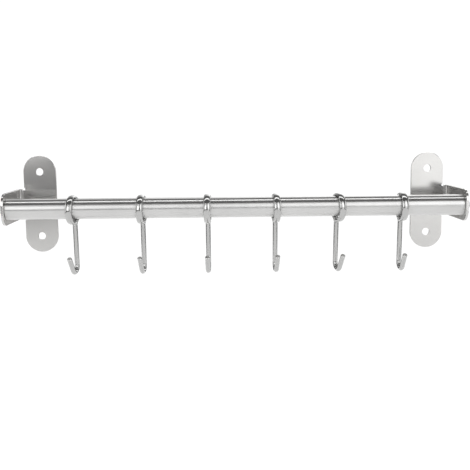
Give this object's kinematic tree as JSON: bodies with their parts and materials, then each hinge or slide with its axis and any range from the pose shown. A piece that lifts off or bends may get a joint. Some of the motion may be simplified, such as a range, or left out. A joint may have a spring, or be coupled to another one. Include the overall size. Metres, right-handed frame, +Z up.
{
  "type": "kitchen wall rack",
  "caption": "Stainless kitchen wall rack: a round rail on folded screw-on brackets, with sliding bent-wire hooks.",
  "frame": {"origin": "on the wall plane, at the centre of the four wall screw holes", "axes": "+X along the rail to the right as seen from the room, +Y into the wall, +Z up"},
  "size_m": [0.4114, 0.0638, 0.1034],
  "materials": {
    "rail_steel": "fine brushed",
    "bracket_steel": "satin",
    "hook_steel": "polished",
    "screw_steel": "polished",
    "plug_steel": "turned"
  },
  "bodies": {
    "rack": {"rail_tube": "rail_steel", "left_bracket": "bracket_steel", "right_bracket": "bracket_steel", "left_end_plug": "plug_steel", "right_end_plug": "plug_steel", "left_end_screw": "screw_steel", "right_end_screw": "screw_steel"},
    "hook_1": {"hook_1": "hook_steel"},
    "hook_2": {"hook_2": "hook_steel"},
    "hook_3": {"hook_3": "hook_steel"},
    "hook_4": {"hook_4": "hook_steel"},
    "hook_5": {"hook_5": "hook_steel"},
    "hook_6": {"hook_6": "hook_steel"}
  },
  "joints": [
    {"name": "hook_1_swing", "type": "hinge", "parent": "rack", "child": "hook_1", "pos_m": [-0.1428, -0.05, 0], "axis": [1, 0, 0], "range_deg": [-234, 52]},
    {"name": "hook_2_swing", "type": "hinge", "parent": "rack", "child": "hook_2", "pos_m": [-0.0828, -0.05, 0], "axis": [1, 0, 0], "range_deg": [-234, 52]},
    {"name": "hook_3_swing", "type": "hinge", "parent": "rack", "child": "hook_3", "pos_m": [-0.025, -0.05, 0], "axis": [1, 0, 0], "range_deg": [-234, 52]},
    {"name": "hook_4_swing", "type": "hinge", "parent": "rack", "child": "hook_4", "pos_m": [0.035, -0.05, 0], "axis": [1, 0, 0], "range_deg": [-234, 52]},
    {"name": "hook_5_swing", "type": "hinge", "parent": "rack", "child": "hook_5", "pos_m": [0.09012, -0.05, 0], "axis": [1, 0, 0], "range_deg": [-234, 52]},
    {"name": "hook_6_swing", "type": "hinge", "parent": "rack", "child": "hook_6", "pos_m": [0.1464, -0.05, 0], "axis": [1, 0, 0], "range_deg": [-234, 52]}
  ]
}
